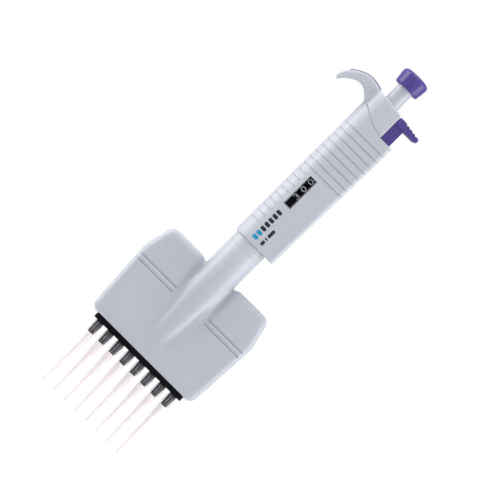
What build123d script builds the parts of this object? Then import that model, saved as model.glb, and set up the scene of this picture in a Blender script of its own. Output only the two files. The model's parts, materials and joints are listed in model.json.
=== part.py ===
from build123d import *
import math
import os

os.makedirs("parts", exist_ok=True)

# Channels, from the 9 mm pitch of a 96-well plate
channel_count = 8
channel_pitch = 9.0
channel_x = [(i - (channel_count - 1) / 2) * channel_pitch for i in range(channel_count)]

# Disposable tip
tip_top_z = 48.8
collar_low_z = 40.2
collar_radius = 3.1
rib_radius = 3.3
rib_width = 0.5
rib_count = 12
tip_outer = [(0.45, 0), (0.8, 8), (1.45, 22.6), (2.25, 35), (2.6, 40)]
tip_inner = [(2.13, 40), (1.8, 35), (1.05, 22.6), (0.5, 8), (0.22, 0)]
tip_fit_gap = 0.03

# Nozzle
cone_low_radius = 2.1
cone_high_radius = 2.65
cone_high_z = 49.4
nozzle_neck_radius = 2.8
nozzle_flange_z = 52.8
cylinder_radius = 4.0
cylinder_low_z = 54.7
cylinder_top_z = 78.8
cylinder_bore = 3.05
cylinder_floor_z = 57.0
air_bore = 0.7
oring_low_z = 43.6
oring_high_z = 44.4
oring_root = 1.75

# Pistons and their carriage
piston_radius = 3.0
piston_low_z = 70.0
carriage_low_z = 96.0
carriage_high_z = 101.0
carriage_half_x = 34.9
carriage_half_y = 3.9
carriage_rod_radius = 3.0
carriage_rod_top_z = 168.0
seal_low_z = 78.9
seal_high_z = 80.0
plate_high_z = 82.0
block_low_z = 72.0
block_half_x = 36.2
block_half_y = 7.6
plate_half_y = 7.3

# Tip ejector
strip_half_x = 36.8
strip_half_y = 7.5
strip_low_z = 49.4
strip_high_z = 52.4
strip_hole = 2.95
yoke_rod_radius = 1.3
yoke_rod_x = 27.0
yoke_rod_y = 5.8
yoke_bar_low_z = 112.0
yoke_bar_high_z = 116.0
yoke_tube_outer = 7.5
yoke_tube_inner = 5.5
yoke_top_z = 161.5
ring_low_z = 161.6
ring_high_z = 164.1
ring_outer = 7.4
ring_inner = 4.9
ejector_x = 13.9
ejector_rod_radius = 1.3
stem_low_z = 239.0
stem_left_x = 9.8
stem_right_x = 17.4
stem_inner_right_x = 16.6
stem_step_z = 247.5
stem_half_y = 5.0
lever_low_z = 261.5
lever_end_x = 27.7
lever_half_y = 6.2
lever_serrations = 4
lever_serration_pitch = 2.7

# Lower housing
head_bottom_z = 52.5
head_top_z = 122.5
head_half_y = 9.5
head_low_half_x = 42.5
head_wide_half_x = 45.6
head_wide_z = 102.5
head_shoulder_half_x = 40.8
head_corner_radii = [5.0, 20.0, 5.5]
taper_low_z = 80.0
taper_depth = 3.5
head_wall = 1.8
head_side_wall = 2.2
head_edge_radius = 3.0
head_inner_half_y = head_half_y - head_wall
bulge_low_half_x = 5.5
bulge_low_z = 62.0
bulge_full_z = 84.0
bulge_edge_radius = 4.5
neck_radius = 11.65
neck_bore = 8.0
neck_bore_low_z = 101.5
neck_socket = 9.0
neck_plug = 8.98
neck_socket_z = 137.0
neck_top_z = 141.7
wing_groove_z = [93.2, 96.8]
wing_groove_width = 0.8
wing_groove_depth = 0.5
wing_groove_x = [13.0, 43.2]
screw_places = [(38.0, 110.0, -5.5), (38.5, 66.0, -8.0)]
screw_radius = 1.0
screw_head_radius = 1.9
boss_radius = 2.8

# Swivel collar between the housing and the grip
collar_top_z = 147.8
spigot_radius = 10.0
spigot_top_z = 152.0
clip_low_z = 150.1
clip_high_z = 151.1
clip_root = 9.2

# Grip
grip_bottom_z = 147.9
grip_wall = 2.0
grip_half_y = 12.5
grip_round_x = -0.8
grip_left_x = grip_round_x - grip_half_y
grip_right_low_x = 17.5
grip_right_high_x = 19.7
grip_top_z = 248.7
grip_ceiling_z = grip_top_z - grip_wall
grip_floor_z = grip_bottom_z + grip_wall
grip_corner_radius = 2.5
grip_rim_radius = 1.2
parting_width = 0.3
parting_depth = 0.15
spigot_hole = 10.05
seam_points = [
    (9.65, 248.9),
    (6.2, 249.5),
    (1.3, 250.8),
    (-3.5, 253.3),
    (-8.4, 256.3),
    (-13.3, 258.8),
]
groove_width = 0.9
groove_depth = 0.4
groove_pitch = 5.04
full_groove_low_z = 206.2
full_groove_count = 8
side_groove_low_z = 160.9
side_groove_count = 9
side_groove_x = -6.2
shelf_low_z = 213.0
shelf_high_z = 214.8

# Display
window_x = [-3.4, 1.3]
window_z = [179.8, 202.2]
bezel_width = 0.35
bezel_back_y = -11.0

# Volume counter
wheel_z = [187.8, 193.95, 200.1]
wheel_height = 5.6
wheel_radius = 9.95
wheel_bore = 7.2
sleeve_radius = 7.0
sleeve_low_z = 178.0
sleeve_high_z = 206.0
hex_flats = 7.0
hex_gap = 0.1
frame_low_z = 176.0
frame_high_z = 208.0
frame_plate = 1.7
frame_radius = 10.3
frame_bore = 5.2
mask_top_z = 184.7
pinion_x = 9.2
pinion_y = 7.7
pinion_radius = 1.88
pinion_teeth = 8
pinion_height = 2.4
shaft_radius = 0.5

# Plunger
knob_low_z = 281.2
knob_top_z = 292.1
knob_profile = [(8.55, 281.2), (9.0, 284.0), (9.5, 287.0), (9.6, 289.2), (9.0, 291.0), (7.6, 292.1)]
knob_cap_radius = 5.8
knob_cap_low_z = 291.2
stem_radius = 5.6
plunger_stem_low_z = 246.0
plunger_stem_top_z = 284.0
guide_outer = 6.8
guide_inner = 5.65
guide_low_z = 262.0
guide_high_z = 267.3
seat_radius = 8.2
seat_bore = 4.3
seat_low_z = 243.4
seat_high_z = 245.9
foot_radius = 4.5
foot_low_z = 168.05
foot_high_z = 171.0
stop_outer = 9.4
stop_inner = 8.4
stop_low_z = 222.0
stop_high_z = 240.0
nut_outer = 10.45
nut_inner = 9.5
nut_low_z = 216.0
nut_high_z = 222.0

# Top cover with the finger hook
cover_right_x = 9.65
cover_wall = 2.0
cover_right_top_z = 267.2
cover_left_top_z = 270.2
cover_ceiling_z = 262.0
knob_recess_radius = 9.2
knob_recess_z = 268.2
hook_half_y = 8.0
hook_edge_radius = 1.5
hook_inner_radius = 0.6
hook_outer_length = 30.0
hook_inner_length = 20.0
hook_inside_x = -8.0
hook_outer = [
    (-10.6, 270.1),
    (-15.0, 271.1),
    (-18.8, 271.6),
    (-21.9, 271.3),
    (-28.0, 268.8),
    (-32.3, 265.5),
    (-35.4, 261.4),
    (-36.3, 257.6),
]
hook_inner = [
    (-34.7, 256.3),
    (-33.2, 259.0),
    (-30.4, 261.6),
    (-26.2, 264.2),
    (-22.5, 265.0),
    (-18.8, 264.0),
    (-15.8, 261.5),
    (-13.3, 258.8),
]
inlay_rise = 0.6
inlay_depth = 0.8
inlay_half_y = 5.0
inlay_count = 6


def save(name, shape):
    shape.label = name
    export_step(shape, f"parts/{name}.step")


def cyl(radius, z_low, z_high, x=0, y=0):
    return Pos(x, y, (z_low + z_high) / 2) * Cylinder(radius, z_high - z_low)


def tube(outer, inner, z_low, z_high, x=0, y=0):
    return cyl(outer, z_low, z_high, x, y) - cyl(inner, z_low - 1, z_high + 1, x, y)


def block(x_low, x_high, y_low, y_high, z_low, z_high):
    middle = Pos((x_low + x_high) / 2, (y_low + y_high) / 2, (z_low + z_high) / 2)
    return middle * Box(x_high - x_low, y_high - y_low, z_high - z_low)


def on_side(points):
    return [(x, 0, z) for x, z in points]


def raised(face, y_low, y_high):
    return Pos(0, y_low, 0) * extrude(face, amount=y_high - y_low, dir=(0, 1, 0))


def slab(edges, y_low, y_high):
    return raised(make_face(edges), y_low, y_high)


def side_slab(points, y_low, y_high):
    return slab(Polyline(*on_side(points), close=True), y_low, y_high)


def turned(points, x=0, y=0):
    face = make_face(Polyline(*on_side(points), close=True))
    return Pos(x, y, 0) * revolve(face, Axis.Z)


def coil(mean_radius, wire_radius, z_low, z_high, turns, x=0):
    height = z_high - z_low - 2 * wire_radius
    path = Helix(pitch=height / turns, height=height, radius=mean_radius)
    section = Plane(origin=path @ 0, z_dir=path % 0) * Circle(wire_radius)
    return Pos(x, 0, z_low + wire_radius) * sweep(section, path, is_frenet=True)


def joined(shapes):
    whole = shapes[0]
    for shape in shapes[1:]:
        whole += shape
    return whole


def cone_radius(z):
    share = (z - collar_low_z) / (cone_high_z - collar_low_z)
    return cone_low_radius + share * (cone_high_radius - cone_low_radius)


# ---------- tips, nozzles, pistons ----------


def tip(x):
    collar = [(collar_radius, collar_low_z), (collar_radius, tip_top_z)]
    seat_high = (cone_radius(tip_top_z) + tip_fit_gap, tip_top_z)
    seat_low = (cone_radius(collar_low_z) + tip_fit_gap, collar_low_z)
    wall = turned(tip_outer + collar + [seat_high, seat_low] + tip_inner)
    for i in range(rib_count):
        rib = block(collar_radius - 0.2, rib_radius, -rib_width / 2, rib_width / 2, collar_low_z, tip_top_z - 1)
        wall += Rot(0, 0, i * 360 / rib_count) * rib
    return Pos(x, 0, 0) * wall


def nozzle(x):
    outside = [
        (cone_radius(collar_low_z), collar_low_z),
        (cone_radius(oring_low_z), oring_low_z),
        (oring_root, oring_low_z),
        (oring_root, oring_high_z),
        (cone_radius(oring_high_z), oring_high_z),
        (cone_high_radius, cone_high_z),
        (nozzle_neck_radius, cone_high_z),
        (nozzle_neck_radius, cylinder_low_z),
        (cylinder_radius, cylinder_low_z),
        (cylinder_radius, cylinder_top_z),
    ]
    inside = [
        (cylinder_bore, cylinder_top_z),
        (cylinder_bore, cylinder_floor_z),
        (air_bore, cylinder_floor_z - 2),
        (air_bore, collar_low_z),
    ]
    return turned(outside + inside, x)


def nozzle_orings():
    rings = []
    for x in channel_x:
        outer = cone_radius(oring_low_z)
        rings.append(tube(outer, oring_root, oring_low_z + 0.02, oring_high_z - 0.02, x))
    return joined(rings)


def piston_seals():
    return joined([tube(cylinder_radius, piston_radius + 0.04, seal_low_z, seal_high_z, x) for x in channel_x])


def pistons():
    return joined([cyl(piston_radius, piston_low_z, carriage_low_z, x) for x in channel_x])


def yoke_rod_holes(radius, z_low, z_high):
    return [cyl(radius, z_low, z_high, side * yoke_rod_x, yoke_rod_y) for side in (-1, 1)]


def cylinder_block():
    body = block(-block_half_x, block_half_x, -block_half_y, block_half_y, block_low_z, seal_high_z)
    body -= [cyl(cylinder_radius + 0.05, block_low_z - 1, seal_high_z + 1, x) for x in channel_x]
    body -= yoke_rod_holes(yoke_rod_radius + 0.1, block_low_z - 1, seal_high_z + 1)
    return body


def seal_plate():
    body = block(-block_half_x, block_half_x, -plate_half_y, plate_half_y, seal_high_z, plate_high_z)
    body -= [cyl(piston_radius + 0.1, seal_high_z - 1, plate_high_z + 1, x) for x in channel_x]
    body -= yoke_rod_holes(yoke_rod_radius + 0.1, seal_high_z - 1, plate_high_z + 1)
    return body


def carriage_bar():
    body = block(
        -carriage_half_x,
        carriage_half_x,
        -carriage_half_y,
        carriage_half_y,
        carriage_low_z,
        carriage_high_z,
    )
    return fillet(body.edges().filter_by(Axis.Z), 2.0)


def carriage_rod():
    rod = cyl(carriage_rod_radius, carriage_high_z, carriage_rod_top_z)
    return chamfer(rod.edges().sort_by(Axis.Z)[-1], 0.5)


# ---------- tip ejector ----------


def ejector_plate():
    plate = block(-strip_half_x, strip_half_x, -strip_half_y, strip_half_y, strip_low_z, strip_high_z)
    plate = fillet(plate.edges().filter_by(Axis.Z), 2.0)
    plate -= [cyl(strip_hole, strip_low_z - 1, strip_high_z + 1, x) for x in channel_x]
    return plate


def ejector_yoke():
    bar = block(-30, 30, -4, yoke_rod_y + yoke_rod_radius, yoke_bar_low_z, yoke_bar_high_z)
    bar = fillet(bar.edges().filter_by(Axis.Z), 2.0)
    bar += cyl(yoke_tube_outer, yoke_bar_low_z, yoke_top_z)
    bar -= cyl(yoke_tube_inner, yoke_bar_low_z - 1, yoke_top_z + 1)
    bar += yoke_rod_holes(yoke_rod_radius, strip_high_z, yoke_bar_low_z)
    return bar


def ejector_rod():
    ring = cyl(ring_outer, ring_low_z, ring_high_z)
    ring += block(0, ejector_x, -1.5, 1.5, ring_low_z, ring_high_z)
    ring -= cyl(ring_inner, ring_low_z - 1, ring_high_z + 1)
    ring += cyl(ejector_rod_radius, ring_low_z, stem_low_z, ejector_x)
    return ring


def ejector_button():
    stem = block(stem_left_x, stem_inner_right_x, -stem_half_y, stem_half_y, stem_low_z, stem_step_z)
    stem += block(stem_left_x, stem_right_x, -stem_half_y, stem_half_y, stem_step_z, lever_low_z)
    outline = [
        (stem_left_x, lever_low_z),
        (25.4, lever_low_z),
        (lever_end_x, lever_low_z + 1.2),
        (lever_end_x, 264.3),
        (26.4, 265.0),
        (14.0, 267.0),
        (10.6, 267.0),
        (stem_left_x, 266.2),
    ]
    lever = side_slab(outline, -lever_half_y, lever_half_y)
    upright = lever.edges().filter_by(Axis.Z)
    lever = fillet([e for e in upright if e.center().X > lever_end_x - 0.1], 1.1)
    for i in range(lever_serrations):
        x = 16.4 + i * lever_serration_pitch
        z = 267.0 - (x - 14.0) * 2.0 / 12.4 + 0.25
        lever -= Pos(x, 0, z) * Rot(90, 0, 0) * Cylinder(0.8, 2 * lever_half_y + 1)
    return stem + lever


# ---------- lower housing ----------


def head_outline(inset):
    half = [
        (head_low_half_x - inset, head_bottom_z + inset),
        (head_wide_half_x - inset, head_wide_z),
        (head_shoulder_half_x - inset, head_top_z - inset),
    ]
    points = half + [(-x, z) for x, z in reversed(half)]
    face = make_face(Polyline(*on_side(points), close=True))
    for (x, z), radius in zip(half, head_corner_radii):
        corners = [v for v in face.vertices() if abs(abs(v.X) - x) < 0.01 and abs(v.Z - z) < 0.01]
        face = fillet(corners, radius)
    return face


def neck_bulge():
    wedge = side_slab(
        [
            (-bulge_low_half_x, bulge_low_z),
            (bulge_low_half_x, bulge_low_z),
            (neck_radius, head_top_z),
            (-neck_radius, head_top_z),
        ],
        -neck_radius,
        neck_radius,
    )
    sides = [e for e in wedge.edges() if abs(e.center().X) > 3 and 70 < e.center().Z < 115]
    wedge = fillet(sides, bulge_edge_radius)
    fade = [
        (head_half_y, bulge_low_z),
        (neck_radius, bulge_full_z),
        (neck_radius, head_top_z),
        (-neck_radius, head_top_z),
        (-neck_radius, bulge_full_z),
        (-head_half_y, bulge_low_z),
    ]
    face = make_face(Polyline(*[(0, y, z) for y, z in fade], close=True))
    limit = Pos(-20, 0, 0) * extrude(face, amount=40, dir=(1, 0, 0))
    return wedge & limit


def front_taper(depth):
    """What the slanted upper front face takes away in front of a slab of that half depth."""
    points = [
        (-30, taper_low_z),
        (-depth, taper_low_z),
        (taper_depth - depth, head_top_z),
        (taper_depth - depth, 150),
        (-30, 150),
    ]
    face = make_face(Polyline(*[(0, y, z) for y, z in points], close=True))
    return Pos(-60, 0, 0) * extrude(face, amount=120, dir=(1, 0, 0))


def is_rim(edge):
    """True for an edge that runs round the front or rear face, not through its thickness or across it."""
    middle = edge.center()
    across_front = middle.Y < 0 and abs(middle.Z - taper_low_z) < 0.01 and abs(middle.X) < 1
    through = abs(edge.tangent_at(0.5).Y) > 0.9
    return not across_front and not through


def head_solid():
    wings = raised(head_outline(0), -head_half_y, head_half_y) - front_taper(head_half_y)
    rims = [e for e in wings.edges() if is_rim(e)]
    wings = fillet(rims, head_edge_radius)
    return wings + neck_bulge() + cyl(neck_radius, head_top_z - 8, neck_top_z)


def head_cavity():
    room = raised(head_outline(head_side_wall), -head_inner_half_y, head_inner_half_y)
    room -= front_taper(head_inner_half_y)
    room += cyl(neck_bore, neck_bore_low_z, neck_socket_z + 1)
    room += cyl(neck_socket, neck_socket_z, neck_top_z + 1)
    return room


def front_face_y(z):
    slope = taper_depth / (head_top_z - taper_low_z)
    return -head_half_y + max(z - taper_low_z, 0) * slope


def wing_grooves():
    cuts = []
    half = wing_groove_width / 2
    for z in wing_groove_z:
        for side in (-1, 1):
            x_low, x_high = sorted([side * wing_groove_x[0], side * wing_groove_x[1]])
            front = front_face_y(z) + wing_groove_depth
            rear = head_half_y - wing_groove_depth
            cuts.append(block(x_low, x_high, -20, front, z - half, z + half))
            cuts.append(block(x_low, x_high, rear, 20, z - half, z + half))
    return cuts


def across(radius, x, z, y_low, y_high):
    return Pos(x, (y_low + y_high) / 2, z) * Rot(90, 0, 0) * Cylinder(radius, y_high - y_low)


def head_shells():
    whole = head_solid() - head_cavity()
    whole -= wing_grooves()
    inner = head_inner_half_y
    for x, z, front_y in screw_places:
        for side in (-1, 1):
            whole += across(boss_radius, side * x, z, front_y, inner + 0.5)
            whole -= across(screw_radius, side * x, z, front_y + 0.5, head_half_y + 3)
            whole -= across(screw_head_radius, side * x, z, inner, head_half_y + 3)
    whole -= [cyl(nozzle_neck_radius + 0.05, 50, cylinder_low_z + 0.5, x) for x in channel_x]
    whole -= yoke_rod_holes(yoke_rod_radius + 0.2, 50, 56)
    front = whole & block(-60, 60, -30, 0, 40, 150)
    rear = whole & block(-60, 60, 0, 30, 40, 150)
    return front, rear


def head_screws():
    inner = head_inner_half_y
    screws = []
    for x, z, front_y in screw_places:
        for side in (-1, 1):
            screw = across(screw_radius, side * x, z, front_y + 1.5, inner + 0.2)
            screw += across(screw_head_radius - 0.05, side * x, z, inner, inner + 1.2)
            screw -= across(0.7, side * x, z, inner + 0.5, inner + 2)
            screws.append(screw)
    return joined(screws)


def neck_collar():
    body = cyl(neck_radius, neck_top_z, collar_top_z)
    body = fillet(body.edges().filter_by(GeomType.CIRCLE), 0.3)
    body += cyl(neck_plug, neck_socket_z, neck_top_z + 1)
    body += cyl(spigot_radius, collar_top_z - 1, spigot_top_z)
    body -= tube(spigot_radius + 1, clip_root, clip_low_z, clip_high_z)
    body -= cyl(neck_bore, neck_socket_z - 1, spigot_top_z + 1)
    return body


def retaining_ring():
    return tube(grip_half_y - grip_wall - 0.15, clip_root, clip_low_z + 0.05, clip_high_z - 0.05)


# ---------- grip and display ----------


def grip_section(inset, z_low, z_high, right_x):
    half = grip_half_y - inset
    return cyl(half, z_low, z_high, grip_round_x) + block(grip_round_x, right_x, -half, half, z_low, z_high)


def seam():
    return Spline(*on_side(seam_points))


def grip_right_x(z):
    share = (z - grip_bottom_z) / (grip_top_z - grip_bottom_z)
    return grip_right_low_x + share * (grip_right_high_x - grip_right_low_x)


def groove_core(z):
    right_x = grip_right_x(z) - groove_depth
    core = grip_section(groove_depth, z - groove_width, z + groove_width, right_x)
    corners = [e for e in core.edges() if e.length < 3 * groove_width and e.center().X > right_x - 1]
    return fillet(corners, grip_corner_radius - groove_depth)


def band_cuts(low_z, count, right_x):
    cuts = []
    for i in range(count):
        z = low_z + i * groove_pitch
        band = block(-20, right_x, -20, 20, z - groove_width / 2, z + groove_width / 2)
        cuts.append(band - groove_core(z))
    return cuts


def grip_body():
    rest = Polyline(
        *on_side(
            [
                seam_points[-1],
                (grip_left_x - 1, seam_points[-1][1]),
                (grip_left_x - 1, grip_bottom_z),
                (grip_right_low_x, grip_bottom_z),
                (grip_right_high_x, grip_top_z),
                (cover_right_x + 0.05, grip_top_z),
                seam_points[0],
            ]
        )
    )
    body = slab(seam() + rest, -20, 20) & grip_section(0, grip_bottom_z, 262, 30)
    corners = [e for e in body.edges() if e.length > 90 and e.center().X > 15]
    body = fillet(corners, grip_corner_radius)
    rim = [e for e in body.edges() if abs(e.center().Z - grip_bottom_z) < 0.01]
    body = fillet(rim, grip_rim_radius)
    inner_right = [
        (grip_left_x - 1, grip_floor_z),
        (grip_right_low_x - grip_wall, grip_floor_z),
        (grip_right_high_x - grip_wall, grip_ceiling_z),
        (cover_right_x - cover_wall, grip_ceiling_z),
        (cover_right_x - cover_wall, 262),
        (grip_left_x - 1, 262),
    ]
    room = side_slab(inner_right, -20, 20) & grip_section(grip_wall, grip_floor_z, 262, 30)
    body -= room
    body -= cyl(spigot_hole, grip_bottom_z - 1, grip_floor_z + 1)
    shelf = block(11.4, 17.6, -11, 11, shelf_low_z, shelf_high_z)
    body += shelf
    body -= cyl(ejector_rod_radius + 0.2, shelf_low_z - 1, shelf_high_z + 1, ejector_x)
    body -= block(
        stem_left_x - 0.1,
        stem_right_x + 0.1,
        -stem_half_y - 0.1,
        stem_half_y + 0.1,
        grip_ceiling_z - 1,
        grip_top_z + 1,
    )
    body -= band_cuts(full_groove_low_z, full_groove_count, 30)
    body -= band_cuts(side_groove_low_z, side_groove_count, side_groove_x)
    parting_x = grip_left_x + parting_depth
    body -= block(-20, parting_x, -parting_width / 2, parting_width / 2, grip_bottom_z - 1, 270)
    body -= window_block(bezel_width, bezel_back_y)
    body -= window_block(-0.2, bezel_back_y + 2)
    return body


def window_block(margin, back_y):
    return block(
        window_x[0] - margin,
        window_x[1] + margin,
        -20,
        back_y,
        window_z[0] - margin,
        window_z[1] + margin,
    )


def display_bezel():
    skin = grip_section(0.15, 170, 210, 10)
    return (window_block(bezel_width, bezel_back_y) & skin) - window_block(0, bezel_back_y + 1)


def display_lens():
    return window_block(0, bezel_back_y) & grip_section(0.45, 170, 210, 10)


# ---------- volume counter ----------


def counter_frame():
    low = cyl(frame_radius, frame_low_z, frame_low_z + frame_plate)
    high = cyl(frame_radius, frame_high_z - frame_plate, frame_high_z)
    for plate_z in (frame_low_z, frame_high_z - frame_plate):
        ear = cyl(2.0, plate_z, plate_z + frame_plate, pinion_x, pinion_y)
        low += ear
    body = low + high
    body -= cyl(frame_bore, frame_low_z - 1, frame_high_z + 1)
    body -= cyl(shaft_radius, frame_low_z - 1, frame_high_z + 1, pinion_x, pinion_y)
    body += block(-11.0, -10.1, -2, 2, frame_low_z, frame_high_z)
    body += block(10.1, 11.3, -3, 3, frame_low_z, frame_high_z)
    mask = block(window_x[0] - 0.4, window_x[1] + 0.4, -11, -8.8, frame_low_z, mask_top_z)
    return body + (mask & grip_section(grip_wall + 0.1, frame_low_z, mask_top_z, 15))


def counter_shaft():
    return cyl(shaft_radius, frame_low_z, frame_high_z, pinion_x, pinion_y)


def wheel(z, bore):
    body = tube(wheel_radius, bore, z - wheel_height / 2, z + wheel_height / 2)
    return chamfer(body.edges().filter_by(GeomType.CIRCLE).sort_by(SortBy.RADIUS)[-2:], 0.25)


def drive_sleeve():
    hexagon = RegularPolygon(hex_flats / 2 + hex_gap, 6, major_radius=False)
    hole = Pos(0, 0, sleeve_low_z - 1) * extrude(hexagon, amount=sleeve_high_z - sleeve_low_z + 2)
    return cyl(sleeve_radius, sleeve_low_z, sleeve_high_z) - hole


def carry_pinion(z):
    low = z - pinion_height / 2
    high = z + pinion_height / 2
    body = cyl(pinion_radius - 0.55, low, high)
    for i in range(pinion_teeth):
        tooth = block(0, pinion_radius - 0.02, -0.3, 0.3, low, high)
        body += Rot(0, 0, i * 360 / pinion_teeth) * tooth
    body -= cyl(shaft_radius + 0.05, low - 1, high + 1)
    return Pos(pinion_x, pinion_y, 0) * body


def volume_stop():
    return tube(stop_outer, stop_inner, stop_low_z, stop_high_z)


def screw_nut():
    return tube(nut_outer, nut_inner, nut_low_z, nut_high_z)


# ---------- plunger ----------


def knob():
    body = turned([(0, knob_low_z)] + knob_profile + [(0, knob_top_z)])
    body -= cyl(stem_radius, knob_low_z - 1, plunger_stem_top_z)
    body -= cyl(knob_cap_radius, knob_cap_low_z, knob_top_z + 1)
    return body


def knob_cap():
    cap = cyl(knob_cap_radius - 0.1, knob_cap_low_z, knob_top_z)
    return chamfer(cap.edges().sort_by(Axis.Z)[-1], 0.2)


def plunger_stem():
    return cyl(stem_radius, plunger_stem_low_z, plunger_stem_top_z)


def drive_rod():
    hexagon = RegularPolygon(hex_flats / 2, 6, major_radius=False)
    rod = Pos(0, 0, foot_low_z) * extrude(hexagon, amount=plunger_stem_low_z - foot_low_z)
    return rod + cyl(foot_radius, foot_low_z, foot_high_z)


def spring_seat():
    return tube(seat_radius, seat_bore, seat_low_z, seat_high_z)


def plunger_guide():
    return tube(guide_outer, guide_inner, guide_low_z, guide_high_z)


# ---------- top cover ----------


def hook_shape():
    outer = [(hook_inside_x, 269.6)] + hook_outer
    tip_end = Line(*on_side([hook_outer[-1], hook_inner[0]]))
    inside = Polyline(*on_side([hook_inner[-1], (hook_inside_x, 260.5), outer[0]]))
    edges = Spline(*on_side(outer)) + tip_end + Spline(*on_side(hook_inner)) + inside
    shape = slab(edges, -hook_half_y, hook_half_y)
    rims = [e for e in shape.edges() if abs(abs(e.center().Y) - hook_half_y) < 0.01]
    shape = fillet([e for e in rims if e.length > hook_outer_length], hook_edge_radius)
    rims = [e for e in shape.edges() if abs(abs(e.center().Y) - hook_half_y) < 0.01]
    return fillet([e for e in rims if hook_inner_length < e.length < hook_outer_length], hook_inner_radius)


def inlay_shape():
    outer = hook_outer[:inlay_count]
    high = []
    low = []
    for i, (x, z) in enumerate(outer):
        before = outer[max(i - 1, 0)]
        after = outer[min(i + 1, len(outer) - 1)]
        length = math.hypot(after[0] - before[0], after[1] - before[1])
        normal_x = (after[1] - before[1]) / length
        normal_z = -(after[0] - before[0]) / length
        high.append((x + normal_x * inlay_rise, z + normal_z * inlay_rise))
        low.append((x - normal_x * inlay_depth, z - normal_z * inlay_depth))
    ends = Line(*on_side([high[0], low[0]])) + Line(*on_side([high[-1], low[-1]]))
    edges = Spline(*on_side(high)) + Spline(*on_side(low)) + ends
    return slab(edges, -inlay_half_y, inlay_half_y)


def top_cover():
    rest = Polyline(
        *on_side(
            [
                seam_points[-1],
                (grip_left_x - 1, seam_points[-1][1]),
                (grip_left_x - 1, cover_left_top_z),
                (cover_right_x, cover_right_top_z),
                (cover_right_x, seam_points[0][1]),
            ]
        )
    )
    body = slab(seam() + rest, -20, 20) & grip_section(0, 240, 280, cover_right_x)
    rim = [e for e in body.edges() if e.center().Z > 266.5]
    body = fillet(rim, 1.0)
    room = grip_section(cover_wall, 240, cover_ceiling_z, cover_right_x - cover_wall)
    body -= room
    body += hook_shape()
    body -= cyl(guide_outer, cover_ceiling_z - 1, 280)
    body -= cyl(knob_recess_radius, knob_recess_z, 280)
    return body - inlay_shape()


def main():
    for i, x in enumerate(channel_x):
        save(f"tip_{i + 1}", tip(x))
        save(f"nozzle_{i + 1}", nozzle(x))
    save("nozzle_orings", nozzle_orings())
    save("piston_seals", piston_seals())
    save("pistons", pistons())
    save("cylinder_block", cylinder_block())
    save("seal_plate", seal_plate())
    save("carriage_bar", carriage_bar())
    save("carriage_rod", carriage_rod())
    save("ejector_plate", ejector_plate())
    save("ejector_yoke", ejector_yoke())
    save("ejector_rod", ejector_rod())
    save("ejector_button", ejector_button())
    save("ejector_spring", coil(2.0, 0.25, 214.85, 238.95, 9, ejector_x))
    front, rear = head_shells()
    save("head_front_shell", front)
    save("head_rear_shell", rear)
    save("head_screws", head_screws())
    save("neck_collar", neck_collar())
    save("retaining_ring", retaining_ring())
    save("grip_body", grip_body())
    save("display_bezel", display_bezel())
    save("display_lens", display_lens())
    save("counter_frame", counter_frame())
    save("counter_shaft", counter_shaft())
    save("hundreds_wheel", wheel(wheel_z[0], wheel_bore))
    save("tens_wheel", wheel(wheel_z[1], wheel_bore))
    save("units_wheel", wheel(wheel_z[2], sleeve_radius))
    save("drive_sleeve", drive_sleeve())
    save("carry_pinion_hundreds", carry_pinion((wheel_z[0] + wheel_z[1]) / 2))
    save("carry_pinion_tens", carry_pinion((wheel_z[1] + wheel_z[2]) / 2))
    save("volume_stop", volume_stop())
    save("screw_nut", screw_nut())
    save("knob", knob())
    save("knob_cap", knob_cap())
    save("plunger_stem", plunger_stem())
    save("drive_rod", drive_rod())
    save("spring_seat", spring_seat())
    save("plunger_guide", plunger_guide())
    save("return_spring", coil(6.8, 0.45, 208.05, 243.35, 9))
    save("blowout_spring", coil(5.0, 0.4, 208.05, 230.7, 6))
    save("top_cover", top_cover())
    save("hook_inlay", inlay_shape())


main()
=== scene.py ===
import json
import math

import bmesh
import bpy
from mathutils import Matrix, Vector


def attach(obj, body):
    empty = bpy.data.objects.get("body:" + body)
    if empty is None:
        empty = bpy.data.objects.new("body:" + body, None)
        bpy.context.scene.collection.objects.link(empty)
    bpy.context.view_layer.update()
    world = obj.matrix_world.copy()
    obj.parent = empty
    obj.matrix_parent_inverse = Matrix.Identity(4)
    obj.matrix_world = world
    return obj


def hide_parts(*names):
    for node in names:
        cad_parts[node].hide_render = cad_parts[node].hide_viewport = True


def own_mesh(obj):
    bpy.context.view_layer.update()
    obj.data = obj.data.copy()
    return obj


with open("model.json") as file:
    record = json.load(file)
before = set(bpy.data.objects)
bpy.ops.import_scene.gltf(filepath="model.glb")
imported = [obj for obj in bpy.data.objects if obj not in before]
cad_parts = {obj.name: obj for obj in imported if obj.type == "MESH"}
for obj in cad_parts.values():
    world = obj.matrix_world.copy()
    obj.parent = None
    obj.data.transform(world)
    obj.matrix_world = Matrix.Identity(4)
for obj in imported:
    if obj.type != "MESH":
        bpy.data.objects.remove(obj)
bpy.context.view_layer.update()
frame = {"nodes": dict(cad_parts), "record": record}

MM = 0.001
scene = bpy.context.scene
nodes = frame["nodes"]

# ---------------------------------------------------------------- materials


def new_material(name):
    mat = bpy.data.materials.new(name)
    mat.use_nodes = True
    mat.node_tree.nodes.clear()
    tree = mat.node_tree
    out = tree.nodes.new("ShaderNodeOutputMaterial")
    bsdf = tree.nodes.new("ShaderNodeBsdfPrincipled")
    tree.links.new(bsdf.outputs["BSDF"], out.inputs["Surface"])
    coord = tree.nodes.new("ShaderNodeTexCoord")
    return mat, tree, bsdf, coord


def noise(tree, coord, scale, detail=3.0, rough=0.5, distortion=0.0):
    node = tree.nodes.new("ShaderNodeTexNoise")
    node.inputs["Scale"].default_value = scale
    node.inputs["Detail"].default_value = detail
    node.inputs["Roughness"].default_value = rough
    node.inputs["Distortion"].default_value = distortion
    tree.links.new(coord.outputs["Object"], node.inputs["Vector"])
    return node


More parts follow.
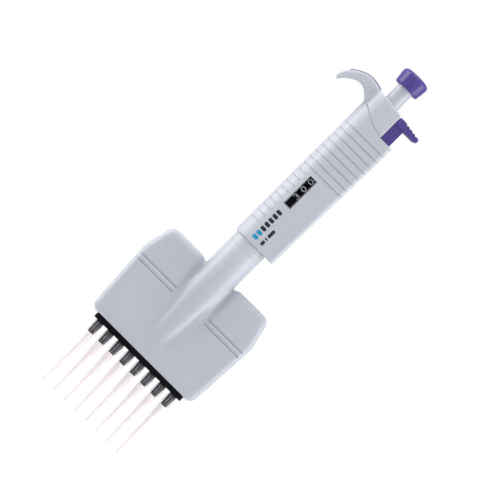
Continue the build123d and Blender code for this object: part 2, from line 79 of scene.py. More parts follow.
def ramp(tree, source, low, high, at_low=0.3, at_high=0.7):
    node = tree.nodes.new("ShaderNodeValToRGB")
    node.color_ramp.elements[0].position = at_low
    node.color_ramp.elements[0].color = low
    node.color_ramp.elements[1].position = at_high
    node.color_ramp.elements[1].color = high
    tree.links.new(source, node.inputs["Fac"])
    return node


def grey(v):
    return (v, v, v, 1.0)


def shade(colour, factor):
    return (colour[0] * factor, colour[1] * factor, colour[2] * factor, 1.0)


DRIFT_SCALE = 45.0
MARK_SCALE = 190.0
GRAIN_DEPTH = 0.00012
COAT_ROUGH = 0.12
PLASTIC_IOR = 1.46
GLOW_RADIUS = (0.9, 0.8, 0.75)
GLOW_SCALE = 0.0012


def moulded(
    name,
    colour,
    rough,
    spread=0.03,
    grain=2600.0,
    bump=0.02,
    edge=0.0003,
    coat=0.0,
    sss=0.0,
    level=0.5,
):
    """Moulded plastic: colour drift, satin roughness with handling marks, fine grain and softened edges."""
    mat, tree, bsdf, coord = new_material(name)
    drift = noise(tree, coord, DRIFT_SCALE, 4.0, 0.55)
    tint = ramp(tree, drift.outputs["Fac"], shade(colour, 1 - spread), shade(colour, 1 + spread))
    tree.links.new(tint.outputs["Color"], bsdf.inputs["Base Color"])
    marks = noise(tree, coord, MARK_SCALE, 5.0, 0.6, 0.4)
    satin = ramp(tree, marks.outputs["Fac"], grey(rough - 0.05), grey(rough + 0.06))
    tree.links.new(satin.outputs["Color"], bsdf.inputs["Roughness"])
    fine = noise(tree, coord, grain, 2.0, 0.5)
    lift = tree.nodes.new("ShaderNodeBump")
    lift.inputs["Strength"].default_value = bump
    lift.inputs["Distance"].default_value = GRAIN_DEPTH
    tree.links.new(fine.outputs["Fac"], lift.inputs["Height"])
    if edge:
        soft = tree.nodes.new("ShaderNodeBevel")
        soft.samples = 4
        soft.inputs["Radius"].default_value = edge
        tree.links.new(soft.outputs["Normal"], lift.inputs["Normal"])
    tree.links.new(lift.outputs["Normal"], bsdf.inputs["Normal"])
    bsdf.inputs["IOR"].default_value = PLASTIC_IOR
    bsdf.inputs["Specular IOR Level"].default_value = level
    bsdf.inputs["Coat Weight"].default_value = coat
    bsdf.inputs["Coat Roughness"].default_value = COAT_ROUGH
    if sss:
        bsdf.inputs["Subsurface Weight"].default_value = sss
        bsdf.inputs["Subsurface Radius"].default_value = GLOW_RADIUS
        bsdf.inputs["Subsurface Scale"].default_value = GLOW_SCALE
    return mat


SCRATCH_SCALE = 900.0
SCRATCH_STRETCH = (1.0, 1.0, 14.0)
SCRATCH_DEPTH = 0.00005


def metal(name, colour, rough):
    """Drawn or turned metal: stretched fine scratches in roughness and bump."""
    mat, tree, bsdf, coord = new_material(name)
    stretch = tree.nodes.new("ShaderNodeMapping")
    stretch.inputs["Scale"].default_value = SCRATCH_STRETCH
    tree.links.new(coord.outputs["Object"], stretch.inputs["Vector"])
    lines = tree.nodes.new("ShaderNodeTexNoise")
    lines.inputs["Scale"].default_value = SCRATCH_SCALE
    lines.inputs["Detail"].default_value = 3.0
    tree.links.new(stretch.outputs["Vector"], lines.inputs["Vector"])
    tint = ramp(tree, lines.outputs["Fac"], shade(colour, 0.9), shade(colour, 1.06))
    tree.links.new(tint.outputs["Color"], bsdf.inputs["Base Color"])
    satin = ramp(tree, lines.outputs["Fac"], grey(rough - 0.06), grey(rough + 0.08))
    tree.links.new(satin.outputs["Color"], bsdf.inputs["Roughness"])
    lift = tree.nodes.new("ShaderNodeBump")
    lift.inputs["Strength"].default_value = 0.05
    lift.inputs["Distance"].default_value = SCRATCH_DEPTH
    tree.links.new(lines.outputs["Fac"], lift.inputs["Height"])
    tree.links.new(lift.outputs["Normal"], bsdf.inputs["Normal"])
    bsdf.inputs["Metallic"].default_value = 1.0
    return mat


CLOUD_SCALE = 130.0
FLOW_SCALE = 900.0
FLOW_DEPTH = 0.0001
CLEAR_IOR = 1.3


def translucent(name, colour, alpha_low, alpha_high, rough, level=0.5):
    """Clouded polypropylene or a clear lens: opacity drifts, and flow lines mark the surface."""
    mat, tree, bsdf, coord = new_material(name)
    cloud = noise(tree, coord, CLOUD_SCALE, 3.0, 0.5)
    tint = ramp(tree, cloud.outputs["Fac"], shade(colour, 0.98), shade(colour, 1.0))
    tree.links.new(tint.outputs["Color"], bsdf.inputs["Base Color"])
    veil = ramp(tree, cloud.outputs["Fac"], grey(alpha_low), grey(alpha_high))
    tree.links.new(veil.outputs["Color"], bsdf.inputs["Alpha"])
    flow = noise(tree, coord, FLOW_SCALE, 2.0, 0.5)
    lift = tree.nodes.new("ShaderNodeBump")
    lift.inputs["Strength"].default_value = 0.03
    lift.inputs["Distance"].default_value = FLOW_DEPTH
    tree.links.new(flow.outputs["Fac"], lift.inputs["Height"])
    tree.links.new(lift.outputs["Normal"], bsdf.inputs["Normal"])
    bsdf.inputs["Roughness"].default_value = rough
    bsdf.inputs["Specular IOR Level"].default_value = level
    bsdf.inputs["IOR"].default_value = CLEAR_IOR
    return mat


GRIP = (0.545, 0.565, 0.615)
HEAD = (0.500, 0.528, 0.576)
PURPLE = (0.075, 0.046, 0.26)
MATS = {
    "grip_plastic": moulded("grip_plastic", GRIP, 0.42, sss=0.1),
    "head_plastic": moulded("head_plastic", HEAD, 0.40, edge=0.0, sss=0.1),
    # Painted highlight: neck_plastic is lighter than the head plastic, standing in for the light on the
    # round neck collar.
    "neck_plastic": moulded("neck_plastic", (0.56, 0.57, 0.61), 0.36, sss=0.1),
    "stem_plastic": moulded("stem_plastic", (0.56, 0.57, 0.62), 0.34),
    "purple_plastic": moulded("purple_plastic", PURPLE, 0.40, spread=0.05, coat=0.05, edge=0.0004),
    "black_plastic": moulded("black_plastic", (0.0025, 0.0025, 0.003), 0.5, spread=0.15, level=0.12),
    "nozzle_plastic": moulded("nozzle_plastic", (0.005, 0.0045, 0.007), 0.4, spread=0.2, level=0.22),
    "steel": metal("steel", (0.55, 0.56, 0.58), 0.28),
    "brass": metal("brass", (0.65, 0.47, 0.2), 0.3),
    "rubber": moulded("rubber", (0.02, 0.02, 0.02), 0.65, spread=0.1),
    "tip_plastic": translucent("tip_plastic", (0.98, 0.885, 0.88), 0.90, 0.95, 0.4, level=0.2),
    "tip_rib": translucent("tip_rib", (0.72, 0.70, 0.78), 0.24, 0.32, 0.3, level=0.2),
    "tip_collar": translucent("tip_collar", (0.7, 0.68, 0.76), 0.03, 0.05, 0.25, level=0.1),
    "clear_window": translucent("clear_window", (0.02, 0.02, 0.022), 0.010, 0.016, 0.2, level=0.05),
    "digit_ink": moulded("digit_ink", (0.85, 0.86, 0.86), 0.5, spread=0.02, bump=0.01, edge=0.0),
    "teal_ink": moulded("teal_ink", (0.0, 0.30, 0.52), 0.42, spread=0.05, bump=0.01, edge=0.0),
    "dark_ink": moulded("dark_ink", (0.012, 0.013, 0.03), 0.42, spread=0.08, bump=0.01, edge=0.0),
}

slot_of = {}
for part in frame["record"]["subparts"]:
    slot_of[part["node"]] = part["material_slot"]


for name, obj in nodes.items():
    if len(obj.material_slots) == 0:
        obj.data.materials.append(MATS[slot_of[name]])
    for slot in obj.material_slots:
        slot.material = MATS[slot_of[name]]

# ---------------------------------------------------------------- mesh helpers


def object_from(name, bm, mat, body, smooth=True):
    mesh = bpy.data.meshes.new(name)
    bm.to_mesh(mesh)
    bm.free()
    obj = bpy.data.objects.new(name, mesh)
    scene.collection.objects.link(obj)
    mesh.materials.append(mat)
    if smooth:
        for poly in mesh.polygons:
            poly.use_smooth = True
    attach(obj, body)
    return obj


def applied(obj):
    """The object's mesh with its modifiers applied, as a new bmesh."""
    graph = bpy.context.evaluated_depsgraph_get()
    mesh = bpy.data.meshes.new_from_object(obj.evaluated_get(graph))
    bm = bmesh.new()
    bm.from_mesh(mesh)
    bpy.data.meshes.remove(mesh)
    return bm


def relax(bm, verts, passes):
    """Moves each vertex half way to its neighbours' middle, the given number of times."""
    for _ in range(passes):
        bmesh.ops.smooth_vert(
            bm, verts=verts, factor=0.5, use_axis_x=True, use_axis_y=True, use_axis_z=True
        )


def smoothstep(a, b, v):
    t = min(max((v - a) / (b - a), 0.0), 1.0)
    return t * t * (3 - 2 * t)


def rounded(points, radii, count=14):
    """A closed outline with each corner rounded to its radius."""
    out = []
    n = len(points)
    for i in range(n):
        p = Vector(points[i])
        a = (Vector(points[i - 1]) - p).normalized()
        b = (Vector(points[(i + 1) % n]) - p).normalized()
        half = math.acos(max(-1, min(1, a.dot(b)))) / 2
        reach = radii[i] / math.tan(half)
        centre = p + (a + b).normalized() * (radii[i] / math.sin(half))
        start = p + a * reach - centre
        end = p + b * reach - centre
        turn = math.atan2(start.x * end.y - start.y * end.x, start.dot(end))
        for k in range(count + 1):
            t = turn * k / count
            out.append(
                (
                    centre.x + start.x * math.cos(t) - start.y * math.sin(t),
                    centre.y + start.x * math.sin(t) + start.y * math.cos(t),
                )
            )
    return out


# ---------------------------------------------------------------- housing of the head

HEAD_LOW, HEAD_TOP = 52.5, 122.5
NECK_R, NECK_TOP = 11.65, 141.7
HEAD_POINTS = [(42.5, 52.5), (45.6, 102.5), (40.8, 122.5), (-40.8, 122.5), (-45.6, 102.5), (-42.5, 52.5)]
HEAD_RADII = [5.0, 20.0, 5.5, 5.5, 20.0, 5.0]
HEAD_REAR_Y = 9.5
HEAD_WALL = 1.5
RIM = 3.9
RIM_STEPS = 8
HEAD_VOXEL = 0.6
VALLEY_DEPTH = 2.4
VALLEY_PASSES = 14
HEAD_PASSES = 3
OPEN_HALF_X = 35.8
OPEN_HALF_Y = 7.0
CONE_HEIGHTS = [57, 59, 61, 63, 66, 69, 72, 76, 80, 85, 90, 95, 100, 105, 110, 115, 120, 124, 132, 142.5]


def front_y(z):
    return -HEAD_REAR_Y + max(z - 80.0, 0) * 3.5 / 42.5


def wings(bm):
    """The flat paddle: a rounded outline swept through its thickness with rolled rims."""
    outline = rounded(HEAD_POINTS, HEAD_RADII, 16)
    n = len(outline)
    angles = [math.radians(90 * k / RIM_STEPS) for k in range(RIM_STEPS + 1)]
    steps = [(RIM * (1 - math.cos(a)), RIM * (1 - math.sin(a))) for a in angles]
    normals = []
    for i in range(n):
        a = Vector(outline[i - 1])
        b = Vector(outline[(i + 1) % n])
        t = (b - a).normalized()
        normals.append(Vector((t.y, -t.x)))
    rings = []
    for side in (-1, 1):
        for inset, drop in (steps if side < 0 else list(reversed(steps))):
            ring = []
            for (x, z), nrm in zip(outline, normals):
                px = x - nrm.x * inset
                pz = z - nrm.y * inset
                face = front_y(pz) if side < 0 else HEAD_REAR_Y
                ring.append(bm.verts.new((px, face - side * drop, pz)))
            rings.append(ring)
    split = RIM_STEPS + 1
    rings = list(reversed(rings[:split])) + list(reversed(rings[split:]))
    for a, b in zip(rings[:-1], rings[1:]):
        for i in range(n):
            bm.faces.new((a[i], a[(i + 1) % n], b[(i + 1) % n], b[i]))
    bm.faces.new(list(reversed(rings[0])))
    bm.faces.new(rings[-1])


def section(half_x, front, rear, power, count=96):
    out = []
    for i in range(count):
        a = 2 * math.pi * i / count
        c, s = math.cos(a), math.sin(a)
        x = half_x * math.copysign(abs(c) ** (2 / power), c)
        depth = rear if s > 0 else front
        out.append((x, depth * math.copysign(abs(s) ** (2 / power), s)))
    return out


def cone_width(z):
    """Half width of the half cone where it leaves the wing's face."""
    return min(4.0 + 0.115 * (z - 63.0), 10.4)


def cone_half_x(z, face, depth, power):
    """Half width of the whole section that shows cone_width at the wing's face."""
    shown = max(1 - (min(face, depth - 0.05) / depth) ** power, 0.02) ** (1 / power)
    wide = min(cone_width(z) / shown, 14.0)
    share = smoothstep(92.0, 122.0, z)
    return wide * (1 - share) + NECK_R * share


def neck(bm):
    """The round neck that runs down both faces as a half cone and dies out above the tips."""
    rings = []
    for z in CONE_HEIGHTS:
        depth = 9.4 + 1.7 * smoothstep(57.0, 78.0, z) + 0.55 * smoothstep(78.0, 120.0, z)
        power = 2.5 - 0.5 * smoothstep(90.0, 120.0, z)
        half_x = cone_half_x(z, -front_y(min(z, HEAD_TOP)), depth, power)
        rings.append([bm.verts.new((x, y, z)) for x, y in section(half_x, depth, depth, power)])
    n = len(rings[0])
    for a, b in zip(rings[:-1], rings[1:]):
        for i in range(n):
            bm.faces.new((a[i], a[(i + 1) % n], b[(i + 1) % n], b[i]))
    bm.faces.new(list(reversed(rings[0])))
    bm.faces.new(rings[-1])


def valley(bm):
    """Sinks the wings beside the neck and rounds their inner top corners down to it."""
    for v in bm.verts:
        x, y, z = v.co
        reach = abs(x)
        if z > 84 and 8 < reach < 20:
            sink = VALLEY_DEPTH * smoothstep(84.0, 116.0, z) * math.exp(-(((reach - 12.3) / 1.7) ** 2))
            v.co.y -= math.copysign(min(sink, abs(y) * 0.6), y)
        if z > 112 and reach > 8:
            near = 1 - smoothstep(11.5, 16.0, reach)
            at_top = smoothstep(112.0, 122.0, z) * (1 - smoothstep(126.0, 136.0, z))
            v.co.z -= VALLEY_DEPTH * near * at_top


def head_blend():
    bm = bmesh.new()
    wings(bm)
    neck(bm)
    bmesh.ops.recalc_face_normals(bm, faces=bm.faces)
    bmesh.ops.triangulate(bm, faces=[f for f in bm.faces if len(f.verts) > 4])
    mesh = bpy.data.meshes.new("head_raw")
    bm.to_mesh(mesh)
    bm.free()
    raw = bpy.data.objects.new("head_raw", mesh)
    scene.collection.objects.link(raw)
    remesh = raw.modifiers.new("union", "REMESH")
    remesh.mode = "VOXEL"
    remesh.voxel_size = HEAD_VOXEL
    bm = applied(raw)
    bpy.data.objects.remove(raw)
    bpy.data.meshes.remove(mesh)
    valley(bm)
    beside = [v for v in bm.verts if abs(v.co.x) < 19 and 55 < v.co.z < 130]
    relax(bm, beside, VALLEY_PASSES)
    relax(bm, bm.verts, HEAD_PASSES)
    return bm


GROOVES = (93.2, 96.8)
GROOVE_LOOPS = (-0.95, -0.7, -0.5, -0.3, -0.1, 0.1, 0.3, 0.5, 0.7, 0.95)
GROOVE_REACH = 1.0
GROOVE_WIDTH = 0.55
GROOVE_DEPTH = 1.05


def carve(bm):
    """Pairs of shallow grooves across each wing, cut as real edge loops."""
    for z in GROOVES:
        for dz in GROOVE_LOOPS:
            geom = bm.verts[:] + bm.edges[:] + bm.faces[:]
            bmesh.ops.bisect_plane(bm, geom=geom, dist=1e-5, plane_co=(0, 0, z + dz), plane_no=(0, 0, 1))
    for v in bm.verts:
        x, y, z = v.co
        for g in GROOVES:
            if abs(z - g) < GROOVE_REACH:
                ends = smoothstep(12.6, 14.0, abs(x)) * (1 - smoothstep(42.0, 43.6, abs(x)))
                shape = math.exp(-(((z - g) / GROOVE_WIDTH) ** 2))
                v.co.y -= math.copysign(GROOVE_DEPTH * ends * shape * smoothstep(4.0, 7.0, abs(y)), y)


def head_halves():
    whole = head_blend()
    carve(whole)
    for co, no in (
        ((0, 0, NECK_TOP), (0, 0, 1)),
        ((OPEN_HALF_X, 0, 0), (1, 0, 0)),
        ((-OPEN_HALF_X, 0, 0), (1, 0, 0)),
        ((0, OPEN_HALF_Y, 0), (0, 1, 0)),
        ((0, -OPEN_HALF_Y, 0), (0, 1, 0)),
        ((0, 0, 0), (0, 1, 0)),
    ):
        geom = whole.verts[:] + whole.edges[:] + whole.faces[:]
        bmesh.ops.bisect_plane(whole, geom=geom, dist=1e-4, plane_co=co, plane_no=no)
    gone = []
    for f in whole.faces:
        c = f.calc_center_median()
        under = c.z < HEAD_LOW + 0.6 and abs(c.x) < OPEN_HALF_X and abs(c.y) < OPEN_HALF_Y
        if c.z > NECK_TOP or under:
            gone.append(f)
    bmesh.ops.delete(whole, geom=gone, context="FACES")
    halves = []
    for side in (-1, 1):
        half = whole.copy()
        away = [f for f in half.faces if f.calc_center_median().y * side < 0]
        bmesh.ops.delete(half, geom=away, context="FACES")
        for v in half.verts:
            v.co *= MM
        halves.append(half)
    whole.free()
    names = ("head_front_skin", "head_rear_skin")
    for half, name, node in zip(halves, names, ("head_front_shell", "head_rear_shell")):
        obj = object_from(name, half, MATS["head_plastic"], "head")
        wall = obj.modifiers.new("wall", "SOLIDIFY")
        wall.thickness = HEAD_WALL * MM
        wall.offset = -1
        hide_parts(node)


head_halves()

# ---------------------------------------------------------------- counter digits

STROKES = {
    "0": [
        [
            (0.5, 0.0), (0.15, 0.16), (0.05, 0.5), (0.15, 0.84), (0.5, 1.0), (0.85, 0.84),
            (0.95, 0.5), (0.85, 0.16), (0.5, 0.0),
        ],
    ],
    "1": [
        [
            (0.25, 0.8), (0.55, 1.0), (0.55, 0.0),
        ],
    ],
    "2": [
        [
            (0.1, 0.8), (0.3, 0.98), (0.65, 0.98), (0.88, 0.78), (0.8, 0.52), (0.1, 0.0),
            (0.92, 0.0),
        ],
    ],
    "3": [
        [
            (0.1, 0.86), (0.35, 1.0), (0.7, 0.97), (0.86, 0.75), (0.7, 0.55), (0.42, 0.52),
        ],
        [
            (0.42, 0.52), (0.75, 0.48), (0.92, 0.26), (0.72, 0.03), (0.35, 0.0), (0.08, 0.15),
        ],
    ],
    "4": [
        [
            (0.7, 0.0), (0.7, 1.0), (0.08, 0.3), (0.95, 0.3),
        ],
    ],
    "5": [
        [
            (0.85, 1.0), (0.22, 1.0), (0.15, 0.55), (0.5, 0.62), (0.85, 0.5), (0.92, 0.25),
            (0.7, 0.02), (0.35, 0.0), (0.1, 0.12),
        ],
    ],
    "6": [
        [
            (0.82, 0.95), (0.5, 0.98), (0.18, 0.72), (0.06, 0.35), (0.2, 0.06), (0.5, 0.0),
            (0.82, 0.1), (0.92, 0.32), (0.78, 0.54), (0.5, 0.6), (0.2, 0.5), (0.08, 0.32),
        ],
    ],
    "7": [
        [
            (0.08, 1.0), (0.92, 1.0), (0.4, 0.0),
        ],
    ],
    "8": [
        [
            (0.5, 0.54), (0.2, 0.64), (0.14, 0.82), (0.32, 0.98), (0.68, 0.98), (0.86, 0.82),
            (0.8, 0.64), (0.5, 0.54), (0.16, 0.42), (0.06, 0.22), (0.25, 0.02), (0.75, 0.02),
            (0.94, 0.22), (0.84, 0.42), (0.5, 0.54),
        ],
    ],
    "9": [
        [
            (0.18, 0.05), (0.5, 0.02), (0.82, 0.28), (0.94, 0.65), (0.8, 0.94), (0.5, 1.0),
            (0.18, 0.9), (0.08, 0.68), (0.22, 0.46), (0.5, 0.4), (0.8, 0.5), (0.92, 0.68),
        ],
    ],
}


def between(p0, p1, p2, p3, t):
    """The Catmull-Rom point from p1 to p2 at the share t."""
    slope = (p2 - p0) * t
    bend = (2 * p0 - 5 * p1 + 4 * p2 - p3) * t * t
    twist = (3 * p1 - p0 - 3 * p2 + p3) * t ** 3
    return 0.5 * ((2 * p1) + slope + bend + twist)


def stroke_points(path, count=5):
    """A smooth line through the points, as Catmull-Rom segments."""
    pts = [Vector(p) for p in path]
    if len(pts) <= 4:
        return pts
    out = []
    for i in range(len(pts) - 1):
        p0 = pts[max(i - 1, 0)]
        p1, p2 = pts[i], pts[i + 1]
        p3 = pts[min(i + 2, len(pts) - 1)]
        for k in range(count):
            out.append(between(p0, p1, p2, p3, k / count))
    out.append(pts[-1])
    return out


def digit_ribbon(bm, digit, angle, z_mid, radius, height=3.5, width=2.6, pen=0.46):
    """One printed digit on a wheel: its height runs round the rim and its width along the axis."""
    for path in STROKES[digit]:
        pts = stroke_points(path)
        rails = []
        for i, p in enumerate(pts):
            a = pts[max(i - 1, 0)]
            b = pts[min(i + 1, len(pts) - 1)]
            d = Vector(((b.x - a.x) * width, (b.y - a.y) * height)).normalized()
            off = Vector((-d.y, d.x)) * pen / 2
            along = [(p.x - 0.5) * width + side * off.x for side in (-1, 1)]
            round_rim = [(p.y - 0.5) * height + side * off.y for side in (-1, 1)]
            rails.append(along + round_rim)
        verts = []
        for z0, z1, h0, h1 in rails:
            pair = []
            for zz, hh in ((z0, h0), (z1, h1)):
                turn = angle - hh / radius
                pair.append((radius * math.cos(turn), radius * math.sin(turn), z_mid + zz))
            verts.append(pair)
        low = [[bm.verts.new(Vector((x * 0.996, y * 0.996, z)) * MM) for x, y, z in pair] for pair in verts]
        top = [[bm.verts.new(Vector((x, y, z)) * MM) for x, y, z in pair] for pair in verts]
        for i in range(len(pts) - 1):
            bm.faces.new((top[i][0], top[i + 1][0], top[i + 1][1], top[i][1]))
            if i == 0:
                bm.faces.new((low[i][0], top[i][0], top[i][1], low[i][1]))
            bm.faces.new((top[i][0], low[i][0], low[i + 1][0], top[i + 1][0]))
            bm.faces.new((low[i][1], top[i][1], top[i + 1][1], low[i + 1][1]))


FRONT = math.radians(-90 - 6)
WHEEL_RADIUS = 10.0
WHEELS = (
    ("hundreds", "hundreds_digits", 187.8, 3, "0123456789"),
    ("tens", "tens_digits", 193.95, 0, "0123456789"),
    ("units_drive", "units_digits", 200.1, 0, "0505050505"),
)


def counter_digits():
    for body, name, z, shown, labels in WHEELS:
        bm = bmesh.new()
        for k in range(10):
            angle = FRONT + math.radians(36 * (shown - k))
            digit_ribbon(bm, labels[k], angle, z, WHEEL_RADIUS)
        bmesh.ops.recalc_face_normals(bm, faces=bm.faces)
        object_from(name, bm, MATS["digit_ink"], body, smooth=False)


counter_digits()

# ---------------------------------------------------------------- printed bars on the grip


GRIP_RADIUS = 12.5
GRIP_AXIS_X = -0.8
INK = 0.04
BAR_X = (-3.3, 0.5)
TEAL_BARS = (151.6, 155.0)
TEAL_LENGTH = 2.5
DARK_BARS = (158.6, 162.0, 165.4, 168.8, 172.2)
DARK_LENGTH = 2.3
SIDE_X = (3.4, 5.5)
SIDE_BARS = ((151.6, 3.2), (155.8, 1.0), (157.9, 5.6))


def grip_surface(x):
    """The Y of the grip's front: flat on the right, round on the left."""
    if x > GRIP_AXIS_X:
        return -GRIP_RADIUS
    return -math.sqrt(max(GRIP_RADIUS ** 2 - (x - GRIP_AXIS_X) ** 2, 0))


def printed_bar(bm, x_low, x_high, z_low, z_high):
    """A rounded printed bar that lies on the grip's front, a few hundredths thick."""
    corner = min(x_high - x_low, z_high - z_low) * 0.28
    corners = [(x_low, z_low), (x_high, z_low), (x_high, z_high), (x_low, z_high)]
    outline = rounded(corners, [corner] * 4, 5)
    columns = 8
    rows = []
    for i in range(columns + 1):
        x = x_low + (x_high - x_low) * (0.001 + 0.998 * i / columns)
        inside = []
        n = len(outline)
        for k in range(n):
            (xa, za), (xb, zb) = outline[k], outline[(k + 1) % n]
            if (xa - x) * (xb - x) <= 0 and xa != xb:
                inside.append(za + (zb - za) * (x - xa) / (xb - xa))
        rows.append((x, min(inside), max(inside)))
    prev = None
    for x, lo, hi in rows:
        y = grip_surface(x) - INK
        pair = (bm.verts.new(Vector((x, y, lo)) * MM), bm.verts.new(Vector((x, y, hi)) * MM))
        if prev:
            bm.faces.new((prev[0], pair[0], pair[1], prev[1]))
        prev = pair


def grip_marks():
    bm = bmesh.new()
    for z in TEAL_BARS:
        printed_bar(bm, *BAR_X, z, z + TEAL_LENGTH)
    object_from("mark_teal", bm, MATS["teal_ink"], "handle", smooth=False)
    bm = bmesh.new()
    for z in DARK_BARS:
        printed_bar(bm, *BAR_X, z, z + DARK_LENGTH)
    for z, length in SIDE_BARS:
        printed_bar(bm, *SIDE_X, z, z + length)
    object_from("mark_dark", bm, MATS["dark_ink"], "handle", smooth=False)


grip_marks()

# ---------------------------------------------------------------- coil springs


def coil(name, node, centre_x, mean_r, wire_r, z_low, z_high, turns):
    curve = bpy.data.curves.new(name, "CURVE")
    curve.dimensions = "3D"
    steps = turns * 20
    spline = curve.splines.new("NURBS")
    spline.points.add(steps)
    for i in range(steps + 1):
        a = 2 * math.pi * turns * i / steps
        z = z_low + wire_r + (z_high - z_low - 2 * wire_r) * i / steps
        spline.points[i].co = ((centre_x + mean_r * math.cos(a)) * MM, mean_r * math.sin(a) * MM, z * MM, 1)
    spline.order_u = 3
    spline.use_endpoint_u = True
    curve.bevel_depth = wire_r * MM
    curve.bevel_resolution = 3
    curve.use_fill_caps = True
    holder = bpy.data.objects.new(name + "_path", curve)
    scene.collection.objects.link(holder)
    bm = applied(holder)
    bpy.data.objects.remove(holder)
    bpy.data.curves.remove(curve)
    obj = object_from(name, bm, MATS["steel"], "handle")
    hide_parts(node)
    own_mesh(obj)


coil("return_coil", "return_spring", 0, 6.8, 0.45, 208.05, 243.3, 9)
coil("ejector_coil", "ejector_spring", 13.9, 2.0, 0.25, 214.85, 238.9, 9)

# ---------------------------------------------------------------- disposable tips

TIP_OUTER = [
    (0.45, 0), (0.62, 4), (0.8, 8), (1.13, 15), (1.45, 22.6), (1.85, 29), (2.25, 35),
    (2.6, 40), (2.75, 40.25), (2.95, 40.6), (3.05, 41.2), (3.05, 48.3), (2.98, 48.8),
]
TIP_INNER = [
    (2.72, 48.8), (2.6, 46.0), (2.45, 43.5), (2.2, 40.2), (2.13, 39.9), (1.8, 35), (1.42, 29),
    (1.05, 22.6), (0.5, 8), (0.22, 0),
]


TIP_SIDES = 48
TIP_RIBS = 10
CONE_PITCH = 9.0
COLLAR_LOW = 0.0403
RIB_STATIONS = (
    (40.9, 0.0, 0.18),
    (41.5, 0.2, 0.3),
    (44.5, 0.27, 0.34),
    (47.2, 0.27, 0.34),
    (48.2, 0.12, 0.3),
    (48.5, 0.0, 0.2),
)


def lathe(bm, profile, centre_x, count, wobble=None):
    rings = []
    for r, z in profile:
        ring = []
        for i in range(count):
            a = 2 * math.pi * i / count
            rr = r + (wobble(a, z) if wobble else 0)
            ring.append(bm.verts.new(Vector((centre_x + rr * math.cos(a), rr * math.sin(a), z)) * MM))
        rings.append(ring)
    return rings


def bridge(bm, rings, closed=False):
    made = []
    pairs = list(zip(rings[:-1], rings[1:]))
    if closed:
        pairs.append((rings[-1], rings[0]))
    n = len(rings[0])
    for a, b in pairs:
        for i in range(n):
            face = bm.faces.new((a[i], a[(i + 1) % n], b[(i + 1) % n], b[i]))
            face.smooth = True
            made.append(face)
    return made


def rib(bm, centre_x, angle):
    """One rounded rib down the collar, standing 0.25 mm proud, with tapered ends."""
    rows = []
    for z, lift, half in RIB_STATIONS:
        row = []
        for k in range(5):
            side = (k - 2) / 2 * half
            r = 3.03 + lift * (1 - (abs(k - 2) / 2) ** 2)
            a = angle + side / 3.0
            row.append(bm.verts.new(Vector((centre_x + r * math.cos(a), r * math.sin(a), z)) * MM))
        rows.append(row)
    for a, b in zip(rows[:-1], rows[1:]):
        for k in range(4):
            face = bm.faces.new((a[k], a[k + 1], b[k + 1], b[k]))
            face.material_index = 1
            face.smooth = True


def tips():
    for i in range(8):
        x = (i - 3.5) * CONE_PITCH
        bm = bmesh.new()
        rings = lathe(bm, TIP_OUTER + TIP_INNER, x, TIP_SIDES)
        for face in bridge(bm, rings, closed=True):
            if face.calc_center_median().z > COLLAR_LOW:
                face.material_index = 2
        for k in range(TIP_RIBS):
            rib(bm, x, 2 * math.pi * (k + 0.25) / TIP_RIBS)
        bmesh.ops.recalc_face_normals(bm, faces=bm.faces)
        obj = object_from(f"clear_tip_{i + 1}", bm, MATS["tip_plastic"], f"tip_{i + 1}")
        obj.data.materials.append(MATS["tip_rib"])
        obj.data.materials.append(MATS["tip_collar"])
        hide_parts(f"tip_{i + 1}")


tips()

# ---------------------------------------------------------------- softened mouldings


def soft_skin(node, body, slot, voxel, passes, region=None, region_passes=0):
    """A moulded skin made from the CAD node: remeshed, with its edges and inner corners rolled over."""
    copy = nodes[node].copy()
    copy.data = nodes[node].data.copy()
    copy.data.transform(nodes[node].matrix_world)
    copy.data.transform(Matrix.Scale(1 / MM, 4))
    copy.parent = None
    copy.matrix_world = Matrix.Identity(4)
    scene.collection.objects.link(copy)
    remesh = copy.modifiers.new("skin", "REMESH")
    remesh.mode = "VOXEL"
    remesh.voxel_size = voxel
    bm = applied(copy)
    bpy.data.objects.remove(copy)
    if region:
        near = [v for v in bm.verts if region(v.co)]
        relax(bm, near, region_passes)
    relax(bm, bm.verts, passes)
    for v in bm.verts:
        v.co *= MM
    obj = object_from("soft_" + node, bm, MATS[slot], body)
    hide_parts(node)


def hook_root(co):
    return -17.5 < co.x < -6.5 and co.z > 251


soft_skin("top_cover", "handle", "grip_plastic", 0.35, 3, hook_root, 30)
soft_skin("ejector_button", "ejector", "purple_plastic", 0.25, 3)

# ---------------------------------------------------------------- knob


KNOB_PROFILE = [
    (5.75, 283.8), (5.75, 281.5), (5.95, 281.25), (7.9, 281.2), (8.4, 281.35), (8.65, 281.8),
    (8.8, 283.0), (9.1, 285.0), (9.4, 287.2), (9.56, 288.7), (9.5, 289.7), (9.2, 290.6),
    (8.6, 291.3), (7.7, 291.8), (6.6, 292.05), (6.1, 292.1), (5.98, 292.0), (5.9, 291.85),
    (5.85, 291.3),
]
KNOB_SIDES = 192
FLUTE_DEPTH = 0.10


def knob():
    """A turned and fluted knob with a rolled rim and an open skirt round the stem."""
    bm = bmesh.new()

    def flute(a, z):
        hold = smoothstep(282.0, 284.0, z) * (1 - smoothstep(289.2, 291.2, z))
        return -FLUTE_DEPTH * hold * abs(math.sin(a * 9)) ** 2

    rings = lathe(bm, KNOB_PROFILE, 0, KNOB_SIDES, flute)
    bridge(bm, rings)
    bmesh.ops.recalc_face_normals(bm, faces=bm.faces)
    for f in bm.faces:
        c = f.calc_center_median()
        if f.normal.dot(Vector((c.x, c.y, 0))) < 0 and c.z < 0.290 and math.hypot(c.x, c.y) > 0.0075:
            f.normal_flip()
    obj = object_from("knob_grip", bm, MATS["purple_plastic"], "volume_knob")
    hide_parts("knob")


knob()

# ---------------------------------------------------------------- studio


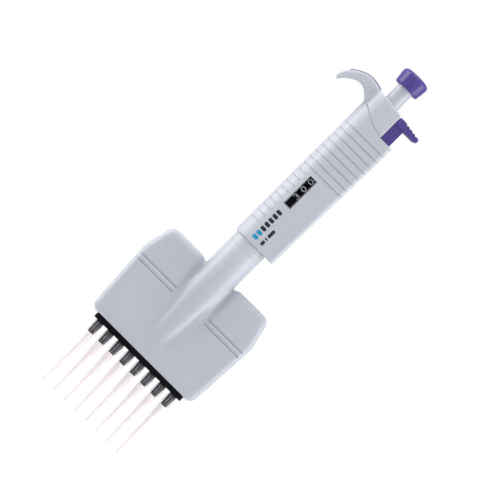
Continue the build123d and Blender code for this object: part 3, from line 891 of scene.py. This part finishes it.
def painted_highlight_above(mat, low, high, gain):
    """Painted highlight: the colour rises by `gain` between two heights, so that the neck reads lighter
    than the wings, standing in for the light on the round neck.
    """
    tree = mat.node_tree
    shader = next(node for node in tree.nodes if node.type == "BSDF_PRINCIPLED")
    source = shader.inputs["Base Color"].links[0].from_socket
    coord = tree.nodes.new("ShaderNodeTexCoord")
    split = tree.nodes.new("ShaderNodeSeparateXYZ")
    rise = tree.nodes.new("ShaderNodeMapRange")
    value = tree.nodes.new("ShaderNodeHueSaturation")
    rise.inputs["From Min"].default_value = low
    rise.inputs["From Max"].default_value = high
    rise.inputs["To Min"].default_value = 1.0
    rise.inputs["To Max"].default_value = gain
    tree.links.new(coord.outputs["Object"], split.inputs["Vector"])
    tree.links.new(split.outputs["Z"], rise.inputs["Value"])
    tree.links.new(rise.outputs["Result"], value.inputs["Value"])
    tree.links.new(source, value.inputs["Color"])
    tree.links.new(value.outputs["Color"], shader.inputs["Base Color"])


# Painted highlight: the head plastic is lightened above the wing tops, where the round neck catches the
# light.
painted_highlight_above(MATS["head_plastic"], 0.118, 0.150, 1.16)


def studio():
    world = bpy.data.worlds.new("studio")
    scene.world = world
    world.use_nodes = True
    tree = world.node_tree
    tree.nodes.clear()
    out = tree.nodes.new("ShaderNodeOutputWorld")
    mix = tree.nodes.new("ShaderNodeMixShader")
    path = tree.nodes.new("ShaderNodeLightPath")
    white = tree.nodes.new("ShaderNodeBackground")
    white.inputs["Color"].default_value = (1, 1, 1, 1)
    white.inputs["Strength"].default_value = 1.0
    fill = tree.nodes.new("ShaderNodeBackground")
    fill.inputs["Color"].default_value = (0.93, 0.95, 1.0, 1)
    fill.inputs["Strength"].default_value = 0.55
    tree.links.new(path.outputs["Is Camera Ray"], mix.inputs["Fac"])
    tree.links.new(fill.outputs["Background"], mix.inputs[1])
    tree.links.new(white.outputs["Background"], mix.inputs[2])
    tree.links.new(mix.outputs["Shader"], out.inputs["Surface"])


def softbox(name, place, target, size, power, colour=(1, 1, 1)):
    light = bpy.data.lights.new(name, "AREA")
    light.shape = "RECTANGLE"
    light.size, light.size_y = size
    light.energy = power
    light.color = colour
    obj = bpy.data.objects.new(name, light)
    scene.collection.objects.link(obj)
    obj.location = place
    direction = Vector(target) - Vector(place)
    obj.rotation_euler = direction.to_track_quat("-Z", "Y").to_euler()


def floor():
    bm = bmesh.new()
    bmesh.ops.create_circle(bm, cap_ends=True, segments=96, radius=0.55)
    mesh = bpy.data.meshes.new("floor")
    bm.to_mesh(mesh)
    bm.free()
    obj = bpy.data.objects.new("floor", mesh)
    scene.collection.objects.link(obj)
    obj.location = (0, 0, -0.16)
    white = (0.86, 0.86, 0.86)
    paper = moulded("floor_paper", white, 0.8, spread=0.01, grain=500.0, bump=0.05, edge=0.0)
    mesh.materials.append(paper)


studio()
floor()
CENTRE = Vector((0.002, 0.0, 0.1448))
softbox("key_right", (0.84, -0.22, 0.26), CENTRE, (0.4, 0.9), 5.5)
softbox("key_left", (-0.85, -0.05, 0.36), CENTRE, (0.35, 0.9), 6.2, (1.0, 0.985, 0.97))
softbox("top", (-0.1, -0.15, 1.0), CENTRE, (0.8, 0.4), 3.5)
softbox("front", (0.1, -1.2, 0.5), CENTRE, (0.9, 0.7), 1.0)
softbox("back", (0.0, 0.9, 0.6), CENTRE, (0.9, 0.7), 2.5)

cam_data = bpy.data.cameras.new("camera")
camera = bpy.data.objects.new("camera", cam_data)
scene.collection.objects.link(camera)
DISTANCE = 1.7
FRAME_SIDE = 0.3055
right = Vector((1, 0, 1)).normalized()
up = Vector((-1, 0, 1)).normalized()
back = right.cross(up)
turn = Matrix((right, up, back)).transposed()
camera.matrix_world = Matrix.Translation(CENTRE + back * DISTANCE) @ turn.to_4x4()
cam_data.sensor_width = 36.0
cam_data.lens = 36.0 * DISTANCE / FRAME_SIDE
cam_data.clip_end = 20
scene.camera = camera
scene.view_settings.view_transform = "Standard"
